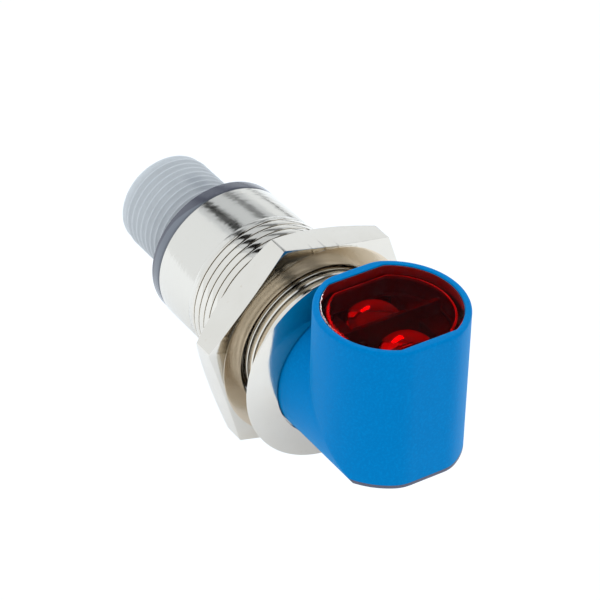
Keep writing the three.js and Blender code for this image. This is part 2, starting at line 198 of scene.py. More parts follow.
sky = bpy.data.worlds.new("sky")
sky.use_nodes = True
sky.node_tree.nodes["Background"].inputs["Color"].default_value = (0.94, 1.0, 1.07, 1)
sky.node_tree.nodes["Background"].inputs["Strength"].default_value = 1.14
bpy.context.scene.world = sky
bpy.context.scene.view_settings.view_transform = "Standard"


def area_lamp(name, place, aim, size, watts):
    lamp = bpy.data.lights.new(name, "AREA")
    lamp.shape = "RECTANGLE"
    lamp.size, lamp.size_y = size
    lamp.energy = watts
    thing = bpy.data.objects.new(name, lamp)
    thing.location = place
    thing.rotation_euler = (Vector(place) - Vector(aim)).to_track_quat("Z", "Y").to_euler()
    bpy.context.scene.collection.objects.link(thing)
    return thing


head_spot = (0.009, 0, 0.009)
softbox = area_lamp("softbox", (-0.15, -0.45, 0.55), head_spot, (0.35, 0.35), 0.25)
softbox.visible_glossy = False
optics_lamp = area_lamp("optics_lamp", (-0.56, 0.07, 0.42), head_spot, (0.32, 0.32), 12.0)
behind_window = bpy.data.collections.new("behind_window")
optics_lamp.light_linking.receiver_collection = behind_window

# a 194 mm lens, looking down on the front left of the sensor with the axis of the sleeve running away
camera_data = bpy.data.cameras.new("camera")
camera_data.sensor_width = 36
camera_data.lens = 193.54
camera_data.clip_start = 0.05
camera_data.clip_end = 30
camera = bpy.data.objects.new("camera", camera_data)
camera.location = (0.228385, -0.158324, 0.209321)
look_along = Vector((-0.67276, 0.45094, -0.58655))
camera_roll = math.radians(1.72)
camera.rotation_euler = (look_along.to_track_quat("-Z", "Y").to_matrix()
                         @ Matrix.Rotation(camera_roll, 3, "Z")).to_euler()
bpy.context.scene.collection.objects.link(camera)
bpy.context.scene.camera = camera

# ---- Sleeve -----------------------------------------------------------------------------------
# Brass tube turned from bar with an M18 x 1 rolled thread and a flange at the front, then nickel
# plated. Fine turning marks run round it.
sleeve_low, sleeve_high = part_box("sleeve")
sleeve_rear = sleeve_low.x / mm
flange_front = sleeve_high.x / mm
flange_r = sleeve_high.z / mm


def nickel_plate(name, mark_depth, wear, blur, satin_blur, satin_from, satin_to, satin_tone, root_r):
    """Nickel over turned brass: marks round the X axis, a satin stretch, and painted shade, brown, below root_r."""
    plate = Finish(name, {"Metallic": 1.0})
    cloud = plate.noise(320, 4.0)
    marks = plate.noise(3200, 3.0, (1, 0.07, 0.07), 0.6)
    scuffs = plate.noise(2600, 5.0, (1, 1, 0.25), 0.7)
    chatter = plate.noise(2600, 2.0, (1, 0.22, 0.22))
    along, across, up = plate.axes()
    reach = plate.start.maths("SQRT", across * across + up * up)
    # painted shade: below root_r, in the thread roots and the bore, behind x -0.7 mm, the nickel is painted brown
    painted_root_shade = ((1 - plate.between(reach, (root_r - 0.03) * mm, root_r * mm))
               * (1 - plate.between(along, -0.8 * mm, -0.7 * mm)))
    satin = (plate.between(along, (satin_from - 0.01) * mm, satin_from * mm)
             * (1 - plate.between(along, satin_to * mm, (satin_to + 0.01) * mm)))
    tone = plate.mix(cloud, (0.655, 0.615, 0.545), (0.70, 0.665, 0.60))
    tone = plate.mix(satin, tone, satin_tone)
    tone = plate.mix(painted_root_shade, tone, (0.50, 0.36, 0.22))
    stain = plate.between(scuffs, 0.62, 0.74) * wear
    plate.feed("Base Color", plate.mix(stain, tone, (0.60, 0.53, 0.43)))
    plate.feed("Roughness", (blur + (satin_blur - blur) * satin) * (0.6 + 0.4 * cloud + 0.4 * marks))
    plate.bump(marks + 7 * satin * chatter + 0.3 * scuffs, mark_depth)
    return plate.material


def rounded_corner(corner, before, after, radius, steps=3):
    """Points that round off a corner of an outline between its two neighbours."""
    corner, before, after = Vector(corner), Vector(before), Vector(after)
    start = corner + (before - corner).normalized() * radius
    end = corner + (after - corner).normalized() * radius
    points = []
    for step in range(steps + 1):
        share = step / steps
        points.append(start.lerp(corner, share).lerp(corner.lerp(end, share), share))
    return [tuple(point) for point in points]


def rounded_outline(corners):
    """A closed outline of (x, radius) corners, each with how far it is rounded off."""
    points = []
    for index, (x, r, rounding) in enumerate(corners):
        before, after = corners[index - 1][:2], corners[(index + 1) % len(corners)][:2]
        if rounding:
            points += rounded_corner((x, r), before, after, rounding)
        else:
            points.append((x, r))
    return points


def thread_points(turn_share, rear, front, pitch, ridge, ends, fade):
    """(x, radius) points across a thread at one angle. ends are the radii that it starts and stops at."""
    points = []
    for turn in range(-1, math.ceil((front - rear) / pitch) + 1):
        for share, radius in ridge:
            x = min(max(rear + pitch * (turn + share + turn_share), rear), front)
            for station, end_radius, reach in ((rear, ends[0], fade[0]), (front, ends[1], fade[1])):
                strength = min(abs(x - station) / reach, 1.0)
                radius = end_radius + (radius - end_radius) * strength
            points.append((x, radius))
    return points


def spun_rings(bm, outline_at, steps):
    """Sets a closed outline round the X axis; outline_at(share) gives it at a share of the turn."""
    columns = []
    for step in range(steps + 1):
        angle = 2 * math.pi * step / steps
        cos, sin = math.cos(angle) * mm, math.sin(angle) * mm
        columns.append([bm.verts.new((x * mm, r * cos, r * sin)) for x, r in outline_at(step / steps)])
    for here, there in zip(columns, columns[1:]):
        for index in range(len(here)):
            bm.faces.new((here[index - 1], here[index], there[index], there[index - 1]))


def finished_piece(name, bm, body, look, sharp_angle=32, weld=0.0006):
    """Welds a mesh, marks its sharp edges, and puts it on a body of the sensor."""
    bmesh.ops.remove_doubles(bm, verts=bm.verts, dist=weld * mm)
    bmesh.ops.dissolve_degenerate(bm, edges=bm.edges, dist=weld * mm * 0.5)
    bmesh.ops.recalc_face_normals(bm, faces=bm.faces)
    for face in bm.faces:
        face.smooth = True
    for edge in bm.edges:
        edge.smooth = edge.calc_face_angle(0) < math.radians(sharp_angle)
    mesh = bpy.data.meshes.new(name)
    bm.to_mesh(mesh)
    bm.free()
    mesh.materials.append(look)
    piece = bpy.data.objects.new(name, mesh)
    bpy.context.scene.collection.objects.link(piece)
    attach(piece, body)
    return piece


thread_r = 8.95
thread_root_r = 8.38
plain_r = 8.75
thread_rear = -15.9
thread_front = -0.75
rolled_ridge = [(0.0, thread_root_r), (0.04, thread_root_r), (0.08, 8.76), (0.11, 8.86), (0.19, 8.92),
                (0.34, 8.945), (0.54, thread_r), (0.74, 8.945), (0.88, 8.92), (0.96, 8.86), (0.98, 8.76)]
counterbore_r = 8.45
flange_cone = 0.78
sleeve_bore_r = 7.4


def sleeve_outline(turn_share):
    inside = rounded_outline([
        (sleeve_rear, sleeve_bore_r, 0.1),
        (0.4, sleeve_bore_r, 0),
        (0.4, counterbore_r, 0),
        (flange_front, counterbore_r, 0.05),
        (flange_front - flange_cone, flange_r, 0.06),
        (0.0, flange_r, 0.07),
        (0.0, thread_root_r - 0.1, 0.1),
        (thread_front, thread_root_r - 0.1, 0.1),
    ])
    thread = thread_points(turn_share, thread_rear, thread_front - 0.1, 1.0, rolled_ridge,
                           (plain_r - 0.12, thread_root_r - 0.08), (0.12, 0.3))
    rear_end = rounded_outline([
        (thread_rear - 0.06, plain_r, 0),
        (thread_rear - 0.30, plain_r, 0),
        (thread_rear - 0.36, plain_r - 0.05, 0),
        (thread_rear - 0.42, plain_r, 0),
        (thread_rear - 0.75, plain_r, 0),
        (thread_rear - 0.80, plain_r - 0.03, 0),
        (thread_rear - 0.85, plain_r, 0),
        (sleeve_rear + 0.35, plain_r, 0),
        (sleeve_rear, plain_r, 0.16),
    ])
    return inside + thread[::-1] + rear_end


sleeve_mesh = bmesh.new()
spun_rings(sleeve_mesh, sleeve_outline, 288)
sleeve_nickel = nickel_plate("nickel_sleeve", 0.000006, 0.6, 0.10, 0.17, sleeve_rear - 1, thread_rear,
                             (0.67, 0.64, 0.58), 8.70)
sleeve = finished_piece("sleeve_turned", sleeve_mesh, "sensor", sleeve_nickel)
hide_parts("sleeve")

# ---- Lock nut ---------------------------------------------------------------------------------
# Cut from nickel-plated hexagon bar, 24 mm across its flats. Both faces are turned, which leaves
# a shallow cone over the corners and a small burr on the edges of the flats.
nut_low, nut_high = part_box("lock_nut")
nut_rear, nut_front = nut_low.x / mm, nut_high.x / mm
nut_apothem = 12.0
nut_face_r = 11.6
nut_bore_r = 9.25
nut_turn = math.radians(47.6)
nut_front_slope = math.radians(8)
nut_rear_slope = math.radians(27)
nut_steps = 1080


def hexagon_reach(angle):
    """Distance from the axis to the hexagon at an angle, with its corners broken."""
    from_flat = (angle - nut_turn) % (math.pi / 3) - math.pi / 6
    reach = nut_apothem / math.cos(from_flat)
    return min(reach, nut_apothem / math.cos(math.pi / 6) - 0.05)


def nut_outline(turn_share):
    angle = 2 * math.pi * turn_share
    reach = hexagon_reach(angle)
    front_edge = nut_front - (reach - nut_face_r) * math.tan(nut_front_slope)
    rear_edge = nut_rear + (reach - nut_face_r) * math.tan(nut_rear_slope)
    around = (14 * math.cos(angle), 14 * math.sin(angle))
    burr = 0.035 * max(noise.noise(Vector((around[0] * 1.9, around[1] * 1.9, 3.7))), 0) ** 2 * 6
    ridge = [(0.0, nut_bore_r), (0.2, nut_bore_r), (0.45, nut_bore_r - 0.2), (0.55, nut_bore_r - 0.2),
             (0.8, nut_bore_r)]
    thread = thread_points(turn_share, nut_rear + 0.45, nut_front - 0.45, 1.0, ridge,
                           (nut_bore_r + 0.05, nut_bore_r + 0.05), (0.4, 0.4))
    outside = rounded_outline([
        (nut_front - 0.38, nut_bore_r + 0.03, 0.02),
        (nut_front, nut_bore_r + 0.38, 0.06),
        (nut_front, nut_face_r, 0.12),
        (front_edge + burr * 0.3, reach + burr * 0.2, 0.07),
        (rear_edge, reach, 0.07),
        (nut_rear, nut_face_r, 0.12),
        (nut_rear, nut_bore_r + 0.38, 0.06),
        (nut_rear + 0.38, nut_bore_r + 0.03, 0.02),
    ])
    return outside + thread


nut_mesh = bmesh.new()
spun_rings(nut_mesh, nut_outline, nut_steps)
nut_nickel = nickel_plate("nickel_nut", 0.000002, 0.8, 0.10, 0.22, nut_front - 0.015, nut_front + 1,
                          (0.65, 0.55, 0.42), nut_bore_r)
nut = finished_piece("lock_nut_turned", nut_mesh, "nut", nut_nickel, 24)
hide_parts("lock_nut")

# ---- Light ring -------------------------------------------------------------------------------
# Smoke-grey translucent collar that spreads the light of the two indicators. It snaps between the
# sleeve's end and the plug. Its front is painted lighter, a painted light for the sleeve's bright end shining through
# it.
ring_low, ring_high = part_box("light_ring")
ring_rear, ring_front, ring_r = ring_low.x / mm, ring_high.x / mm, ring_high.z / mm
ring_step_r = 6.4

smoke = Finish("smoke_ring", {"IOR": 1.5, "Coat Weight": 0.3, "Coat Roughness": 0.1})
smoke_x, smoke_y = smoke.axes()[:2]
smoke_cloud = smoke.noise(420, 3.0)
# painted light: the front of the ring is painted lighter, its edge curving back on the -Y side
painted_light_edge = -0.0233 - 0.0011 * smoke.between(0 - smoke_y, 0.0015, 0.0080)
painted_front_light = smoke.between(smoke_x - painted_light_edge + 0.0003 * (smoke_cloud - 0.5), -0.00012, 0.00012)
smoke.feed("Base Color", smoke.mix(painted_front_light, (0.070, 0.072, 0.092), (0.135, 0.148, 0.172)))
smoke.feed("Roughness", 0.18 + 0.12 * smoke_cloud)
smoke.bump(smoke.noise(5000, 2.0), 0.000004)


def ring_outline(turn_share):
    return rounded_outline([
        (ring_rear, ring_step_r, 0),
        (ring_front, ring_step_r, 0),
        (ring_front, ring_r - 0.28, 0.05),
        (ring_front - 0.28, ring_r, 0.1),
        (ring_rear, ring_r, 0.28),
    ])


ring_mesh = bmesh.new()
spun_rings(ring_mesh, ring_outline, 192)
light_ring = finished_piece("light_ring_moulded", ring_mesh, "sensor", smoke.material)
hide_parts("light_ring")

# ---- Plug shell -------------------------------------------------------------------------------
# Moulded in milky grey plastic with an M12 x 1 thread. Its stem runs through the light ring into
# the sleeve, and a coding key stands inside the socket.
plug_low, plug_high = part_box("plug_shell")
plug_end, plug_front = plug_low.x / mm, plug_high.x / mm
plug_thread_r = 5.95
plug_root_r = 5.62
plug_bore_r = 4.35
plug_stem_r = 6.1
socket_depth = 7.5

milky = Finish("milky_plug", {"IOR": 1.48, "Subsurface Weight": 0.25,
                              "Subsurface Radius": (0.002, 0.002, 0.002), "Subsurface Scale": 1.0})
milky_x, milky_y, milky_z = milky.axes()
milky_cloud = milky.noise(260, 3.0)
milky_reach = milky.start.maths("SQRT", milky_y * milky_y + milky_z * milky_z)
# painted highlight: the crests of the thread are painted lighter
painted_crest_highlight = milky.between(milky_reach, 0.00584, 0.00593)
milky_tone = milky.mix(milky_cloud, (0.43, 0.447, 0.455), (0.465, 0.482, 0.49))
# painted shadow: a dim soft-edged patch on top of the plug, over the coding key inside
painted_key_shadow = (milky.between(milky_x, -0.0325, -0.0313) * (1 - milky.between(milky_x, -0.0284, -0.0272))
                 * milky.between(milky_z, 0.0047, 0.0053) * milky.between(milky_y, -0.0010, 0.0004)
                 * (1 - milky.between(milky_y, 0.0010, 0.0024)))
milky_tone = milky.mix(0.30 * painted_key_shadow, milky_tone, (0.16, 0.17, 0.21))
# painted shade: the plug is painted darker towards the light ring
milky_tone = milky.mix(0.40 * milky.between(milky_x, -0.0330, -0.0256), milky_tone, (0.24, 0.25, 0.27))
# painted light: the plug is painted lighter towards its end
painted_end_light = 1 - milky.between(milky_x, plug_end * mm + 0.0002, plug_end * mm + 0.0016)
milky_tone = milky.mix(0.45 * painted_end_light, milky_tone, (0.66, 0.69, 0.70))
milky.feed("Base Color", milky.mix(0.4 * painted_crest_highlight, milky_tone, (0.60, 0.63, 0.65)))
milky.feed("Roughness", 0.28 + 0.16 * milky_cloud)
milky.bump(milky.noise(4200, 3.0), 0.000005)

moulded_ridge = [(0.0, plug_root_r), (0.12, plug_root_r + 0.01), (0.26, plug_root_r + 0.06),
                 (0.40, plug_root_r + 0.17), (0.46, plug_thread_r - 0.03), (0.49, plug_thread_r), (0.54, plug_thread_r),
                 (0.57, plug_thread_r - 0.03), (0.63, plug_root_r + 0.17), (0.76, plug_root_r + 0.06),
                 (0.88, plug_root_r + 0.01)]


def plug_outline(turn_share):
    front_part = rounded_outline([
        (plug_end, plug_bore_r + 0.35, 0.08),
        (plug_end + 0.35, plug_bore_r, 0.08),
        (-26.0, plug_bore_r, 0),
        (-26.0, 5.3, 0),
        (plug_front, 5.3, 0.1),
        (plug_front, 7.1, 0.15),
        (-20.2, 7.1, 0.05),
        (-20.2, 6.1, 0),
        (-21.7, 6.1, 0),
        (-21.7, 7.1, 0.05),
        (-22.8, 7.1, 0),
        (-22.8, plug_stem_r, 0),
        (-25.15, plug_stem_r, 0.1),
        (-25.3, plug_root_r, 0.05),
    ])
    thread = thread_points(turn_share, plug_end + 0.85, -25.5, 1.0, moulded_ridge,
                           (plug_root_r + 0.05, plug_root_r), (0.5, 0.6))
    end_face = rounded_outline([
        (plug_end + 0.75, plug_root_r + 0.05, 0),
        (plug_end + 0.55, plug_thread_r - 0.12, 0.1),
        (plug_end, plug_thread_r - 0.55, 0.3),
    ])
    return front_part + thread[::-1] + end_face


plug_mesh = bmesh.new()
spun_rings(plug_mesh, plug_outline, 192)
key_steps = [(plug_end + 0.85, 0.25), (plug_end + 1.0, 0.45), (plug_end + socket_depth - 0.3, 0.45)]
key_rows = []
for key_x, key_half in key_steps:
    key_rows.append([plug_mesh.verts.new((key_x * mm, y * mm, z * mm)) for y, z in
                     ((-key_half, 4.75), (-key_half, 3.9), (-key_half + 0.1, 3.8),
                      (key_half - 0.1, 3.8), (key_half, 3.9), (key_half, 4.75))])
for here, there in zip(key_rows, key_rows[1:]):
    for index in range(6):
        plug_mesh.faces.new((here[index - 1], here[index], there[index], there[index - 1]))
plug_mesh.faces.new(key_rows[0])
plug_mesh.faces.new(key_rows[-1][::-1])
plug = finished_piece("plug_shell_moulded", plug_mesh, "sensor", milky.material)
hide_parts("plug_shell")

# ---- Contact carrier and pins -----------------------------------------------------------------
# A grey insulating disc pressed into the plug, with four gold-plated brass pins through it. The
# pins are turned with a domed tip.
carrier_plastic = Finish("carrier_grey", {})
carrier_cloud = carrier_plastic.noise(900, 3.0)
carrier_plastic.feed("Base Color", carrier_plastic.mix(carrier_cloud, (0.055, 0.06, 0.075), (0.075, 0.08, 0.095)))
carrier_plastic.feed("Roughness", 0.42 + 0.2 * carrier_cloud)
carrier_plastic.bump(carrier_cloud, 0.00001)
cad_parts["contact_carrier"].material_slots[0].material = carrier_plastic.material

pin_gold = Finish("pin_gold", {"Metallic": 1.0})
pin_marks = pin_gold.noise(14000, 2.0, (1, 0.05, 0.05))
pin_gold.feed("Base Color", pin_gold.mix(pin_marks, (0.83, 0.60, 0.24), (0.92, 0.70, 0.34)))
pin_gold.feed("Roughness", 0.16 + 0.16 * pin_marks)
pin_gold.bump(pin_marks, 0.000002)

pin_r = 0.5
for number in range(1, 5):
    node = f"contact_pin_{number}"
    pin_low, pin_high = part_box(node)
    pin_y, pin_z = (pin_low.y + pin_high.y) / 2, (pin_low.z + pin_high.z) / 2
    tip, tail = pin_low.x / mm, pin_high.x / mm

    def pin_outline(turn_share):
        dome = [(tip + pin_r * (1 - math.cos(step * math.pi / 12)), pin_r * math.sin(step * math.pi / 12))
                for step in range(7)]
        return [(tail, 0.0), (tail, 0.26), (tail - 0.05, 0.3), (-21.65, 0.3), (-21.6, 0.35), (-21.6, 0.48),
                (-21.65, pin_r)] + dome[::-1]

    pin_mesh = bmesh.new()
    spun_rings(pin_mesh, pin_outline, 40)
    bmesh.ops.translate(pin_mesh, verts=pin_mesh.verts, vec=(0, pin_y, pin_z))
    pin = finished_piece(f"contact_pin_turned_{number}", pin_mesh, "sensor", pin_gold.material)
    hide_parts(node)

# ---- Head housing -----------------------------------------------------------------------------
# The right-angle head is one moulding in spark-finished blue plastic. Its plan is a circle cut by
# two flats, its lower half and neck follow a lying cylinder, and a spigot holds it in the sleeve.
head_low, head_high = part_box("head_housing")
rim_z = head_high.z / mm
head_x = (head_high.x / mm) - 7.79
head_r = 8.31
head_half = 7.79
wall_corner = 3.8
floor_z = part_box("bottom_cover")[0].z / mm + 0.45
low_start_y = math.sqrt(head_r ** 2 - floor_z ** 2)
neck_rear = 0.5
neck_front = 2.15
window_r = 7.56
window_half = 6.73
ledge_z = 9.2
cavity_r = 6.95
cavity_half = 6.15
pocket_floor_z = 0.6
spigot_r = 7.05


def head_plan(radius, half, corner):
    """The closed plan round the head's own axis: (x, y) from the middle of the rear flat, past -Y."""
    centre_x = half - corner
    centre_y = math.sqrt((radius - corner) ** 2 - centre_x ** 2)
    lean = math.atan2(centre_x, centre_y)
    low_start = math.asin(-floor_z / head_r)
    quarter = []
    for step in range(8):
        quarter.append((half, centre_y * step / 8))
    for step in range(8):
        angle = (math.pi / 2 - lean) * step / 8
        quarter.append((centre_x + corner * math.cos(angle), centre_y + corner * math.sin(angle)))
    for step in range(20):
        angle = lean + (low_start - lean) * step / 20
        quarter.append((radius * math.sin(angle), radius * math.cos(angle)))
    for step in range(13):
        angle = low_start * (1 - step / 12)
        quarter.append((radius * math.sin(angle), radius * math.cos(angle)))
    rear_left = [(-x, -y) for x, y in quarter]
    front_left = [(x, -y) for x, y in quarter[:-1]][::-1]
    front_right = [(x, y) for x, y in quarter[1:]]
    rear_right = [(-x, y) for x, y in quarter[1:-1]][::-1]
    return rear_left + front_left + front_right + rear_right


def add_ring(bm, plan, z):
    return [bm.verts.new(((head_x + x) * mm, y * mm, z * mm)) for x, y in plan]


def join_rings(bm, first, second):
    for index in range(len(first)):
        bm.faces.new((first[index - 1], first[index], second[index], second[index - 1]))


blue = Finish("blue_shell", {"IOR": 1.13, "Specular Tint": (0.0, 0.6, 1.0, 1),
                             "Sheen Weight": 0.26, "Sheen Roughness": 0.45, "Sheen Tint": (0.0, 0.45, 0.9, 1)})
blue_grain = blue.noise(3600, 3.0, (1, 1, 1), 0.65)
blue_cloud = blue.noise(300, 2.0)
blue_tone = blue.mix(blue_cloud, (0.0, 0.163, 0.430), (0.0, 0.175, 0.455))
blue.feed("Base Color", blue.mix(blue.between(blue_grain, 0.42, 0.72), blue_tone, (0.0, 0.197, 0.497)))
blue.feed("Roughness", 0.38 + 0.16 * blue_grain)
blue.bump(blue_grain, 0.000012)


def housing_mesh():
    bm = bmesh.new()
    rim_round = 0.28
    outer = head_plan(head_r, head_half, wall_corner)
    rows = 46
    start_z = []
    for x, y in outer:
        lying = math.sqrt(max(head_r ** 2 - y ** 2, 0))
        start_z.append(lying if x < 0 else max(-lying, floor_z))
    wall_top = rim_z - rim_round
    columns = []
    for (x, y), low in zip(outer, start_z):
        columns.append([bm.verts.new(((head_x + x) * mm, y * mm, (low + (wall_top - low) * row / rows) * mm))
                        for row in range(rows + 1)])
    for index in range(len(columns)):
        here, there = columns[index - 1], columns[index]
        for row in range(rows):
            bm.faces.new((here[row], there[row], there[row + 1], here[row + 1]))
    # rim: rounded outside, flat on top, a small break inside, then the recess, ledge and pocket
    top = [column[-1] for column in columns]
    rings = []
    for step in range(1, 6):
        angle = math.pi / 2 * step / 5
        inset = rim_round * (1 - math.cos(angle))
        rings.append((head_r - inset, head_half - inset, wall_corner - inset, wall_top + rim_round * math.sin(angle)))
    for inset, drop in ((0.10, 0.0), (0.06, 0.01), (0.02, 0.04), (0.0, 0.10)):
        rings.append((window_r + inset, window_half + inset, 0.5 + inset, rim_z - drop))
    rings.append((window_r, window_half, 0.5, ledge_z))
    rings.append((cavity_r, cavity_half, 0.6, ledge_z))
    rings.append((cavity_r, cavity_half, 0.6, pocket_floor_z))
    previous = top
    for radius, half, corner, z in rings:
        ring = add_ring(bm, head_plan(radius, half, corner), z)
        join_rings(bm, previous, ring)
        previous = ring
    bm.faces.new(previous)
    # lying cylinder: the upper part of the neck, then the short full round behind it
    chain = []
    low_left = [(x, y) for x, y in outer if x > 0 and y < 0 and -y >= low_start_y - 1e-6]
    low_left.sort(key=lambda point: -point[0])
    up_left = [(x, y) for x, y in outer if x <= 1e-9 and y < -1e-9]
    up_left.sort(key=lambda point: point[1])
    for x, y in low_left:
        chain.append((x, y, -math.sqrt(max(head_r ** 2 - y ** 2, 0))))
    for x, y in up_left:
        chain.append((x, y, math.sqrt(max(head_r ** 2 - y ** 2, 0))))
    middle = [(x, 0.0, head_r) for x, y in outer if x < 0 and abs(y) < 1e-9]
    chain = chain + middle + [(x, -y, z) for x, y, z in reversed(chain)]
    neck_rows = 30
    lines = []
    for x, y, z in chain:
        end = head_x + x
        lines.append([bm.verts.new(((neck_front + (end - neck_front) * row / neck_rows) * mm, y * mm, z * mm))
                      for row in range(neck_rows + 1)])
    for here, there in zip(lines, lines[1:]):
        for row in range(neck_rows):
            bm.faces.new((here[row], there[row], there[row + 1], here[row + 1]))
    bottom_arc = []
    half_angle = math.asin(low_start_y / head_r)
    for step in range(1, 48):
        angle = half_angle * (1 - 2 * step / 48)
        bottom_arc.append((0, head_r * math.sin(angle), -head_r * math.cos(angle)))
    loop = [(y, z) for x, y, z in chain] + [(y, z) for x, y, z in bottom_arc]
    spigot = [(neck_front, head_r), (neck_rear + 0.12, head_r), (neck_rear + 0.03, head_r - 0.04),
              (neck_rear, head_r - 0.12), (neck_rear, spigot_r), (-1.2, spigot_r), (-1.2, spigot_r - 1),
              (-2.7, spigot_r - 1), (-2.7, spigot_r), (-3.45, spigot_r), (-3.6, spigot_r - 0.15)]
    previous = None
    for x, radius in spigot:
        ring = [bm.verts.new((x * mm, y * radius / head_r * mm, z * radius / head_r * mm)) for y, z in loop]
        if previous:
            join_rings(bm, previous, ring)
        previous = ring
    bm.faces.new(previous)
    # underside: the step down from the round, and the flat that the cover lies on
    step_face = [(neck_front, y, z) for x, y, z in bottom_arc]
    step_face = [(neck_front, low_start_y, floor_z)] + step_face + [(neck_front, -low_start_y, floor_z)]
    bm.faces.new([bm.verts.new((x * mm, y * mm, z * mm)) for x, y, z in step_face])
    flat = [(v.co.x, v.co.y, v.co.z) for v in lines[0]]
    front_edge = [((head_x + x) * mm, y * mm, floor_z * mm) for (x, y), low in zip(outer, start_z)
                  if x > 0 and abs(low - floor_z) < 1e-6]
    flat += front_edge[1:-1] if abs(front_edge[0][1] - flat[-1][1]) < 1e-7 else front_edge
    flat += [(v.co.x, v.co.y, v.co.z) for v in reversed(lines[-1])]
    bm.faces.new([bm.verts.new(place) for place in flat])
    bmesh.ops.remove_doubles(bm, verts=bm.verts, dist=0.002 * mm)
    # the tool's corner between the neck and the upright body is rounded
    corner_line = []
    for vertex in bm.verts:
        x, y, z = vertex.co.x / mm - head_x, vertex.co.y / mm, vertex.co.z / mm
        on_lying = abs(math.hypot(y, z) - head_r) < 0.02
        on_upright = abs(math.hypot(x, y) - head_r) < 0.05 or abs(abs(x) - head_half) < 0.05
        near = x < 0.5 and z > -0.5 and abs(abs(z) - abs(x)) < 0.7 or x < -7 and abs(z - 8) < 0.7
        if near and (on_lying or on_upright) and z < 9:
            corner_line.append(vertex)
    for turn in range(10):
        bmesh.ops.smooth_vert(bm, verts=corner_line, factor=0.5, use_axis_x=True, use_axis_y=True, use_axis_z=True)
    return bm


housing = finished_piece("head_housing_moulded", housing_mesh(), "sensor", blue.material, 36)
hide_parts("head_housing")

# ---- Bottom cover -----------------------------------------------------------------------------
# Thin dark-grey plate welded under the head. Its edge shows as a narrow strip below the blue.
cover_low, cover_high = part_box("bottom_cover")
cover_z = cover_low.z / mm
cover_rear = cover_low.x / mm

cover_plastic = Finish("cover_grey", {"IOR": 1.46})
cover_cloud = cover_plastic.noise(1600, 3.0)
cover_plastic.feed("Base Color", cover_plastic.mix(cover_cloud, (0.062, 0.063, 0.098), (0.085, 0.086, 0.125)))
cover_plastic.feed("Roughness", 0.35 + 0.15 * cover_cloud)
cover_plastic.bump(cover_plastic.noise(5200, 3.0), 0.00001)

cover_mesh = bmesh.new()
cover_side_y = math.sqrt(head_r ** 2 - cover_z ** 2)
plate_front = [(head_x + x, y) for x, y in head_plan(head_r, head_half, wall_corner) if x > 0 and abs(y) < cover_side_y]
plate_front.sort(key=lambda point: math.atan2(point[1], point[0] - head_x))
front_x = head_x + math.sqrt(head_r ** 2 - cover_side_y ** 2)
plate_plan = ([(cover_rear, cover_side_y), (cover_rear, -cover_side_y), (front_x, -cover_side_y)]
              + plate_front + [(front_x, cover_side_y)])
cover_centre = Vector((head_x, 0))
previous = None
for inset, z in ((0.3, floor_z + 0.4), (0.3, floor_z), (0.03, floor_z), (0.0, floor_z - 0.04), (0.0, cover_z + 0.1),
                 (0.03, cover_z + 0.03), (0.1, cover_z), (1.0, cover_z), (1.1, cover_z + 0.08),
                 (1.2, cover_z)):
    ring = []
    for x, y in plate_plan:
        place = Vector((x, y)) - cover_centre
        place = cover_centre + place * (1 - inset / place.length)
        ring.append(cover_mesh.verts.new((place.x * mm, place.y * mm, z * mm)))
    if previous:
        join_rings(cover_mesh, previous, ring)
    else:
        cover_mesh.faces.new(ring)
    previous = ring
cover_mesh.faces.new(previous)
cover = finished_piece("bottom_cover_moulded", cover_mesh, "sensor", cover_plastic.material)
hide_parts("bottom_cover")

# ---- Window -----------------------------------------------------------------------------------
# Clear ruby cap moulded in acrylic and pressed into the head's recess: a plate with a skirt down to
# the ledge. The optics behind it show dark red, and its edge has a lighter band of painted light.
window_low, window_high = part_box("window")
window_top = rim_z - 0.08
window_skirt = window_low.z / mm
plate_thick = 1.1

ruby = Finish("red_window", {"Base Color": (0.72, 0.002, 0.004, 1), "Transmission Weight": 1.0, "IOR": 1.20,
                             "Specular Tint": (0.1, 0.0, 0.0, 1)})
ruby_dust = ruby.noise(7500, 1.0)
ruby_specks = ruby.between(ruby_dust, 0.80, 0.84)
ruby.feed("Roughness", 0.015 + 0.5 * ruby_specks)

# painted light: the edge of the cap is painted lit low down, where light would run down inside it, and the fillet of
# its skirt is painted as a bright red glow
ruby_edge = Finish("red_window_edge_painted_light", {"Roughness": 0.6, "Specular IOR Level": 0.2})
painted_edge_light_noise = ruby_edge.noise(700, 3.0)
plate_underside = window_top - plate_thick
ruby_edge_painted_light = ruby_edge.between(ruby_edge.axes()[2], (plate_underside - 1.1) * mm, (plate_underside - 0.5) * mm)
ruby_edge_painted_light_tone = ruby_edge.mix(painted_edge_light_noise, (0.26, 0.05, 0.05), (0.42, 0.10, 0.10))
ruby_edge.feed("Base Color", ruby_edge.mix(ruby_edge_painted_light, (0.05, 0.0, 0.0), ruby_edge_painted_light_tone))
# painted light: the fillet under the plate is an opaque bright red, a painted glow
ruby_fillet_painted_glow = Finish("red_window_fillet_painted_glow", {"Roughness": 0.4, "Specular IOR Level": 0.2})
painted_fillet_glow_noise = ruby_fillet_painted_glow.noise(500, 3.0)
ruby_fillet_painted_glow.feed("Base Color", ruby_fillet_painted_glow.mix(painted_fillet_glow_noise, (0.15, 0.0, 0.0), (0.62, 0.01, 0.01)))

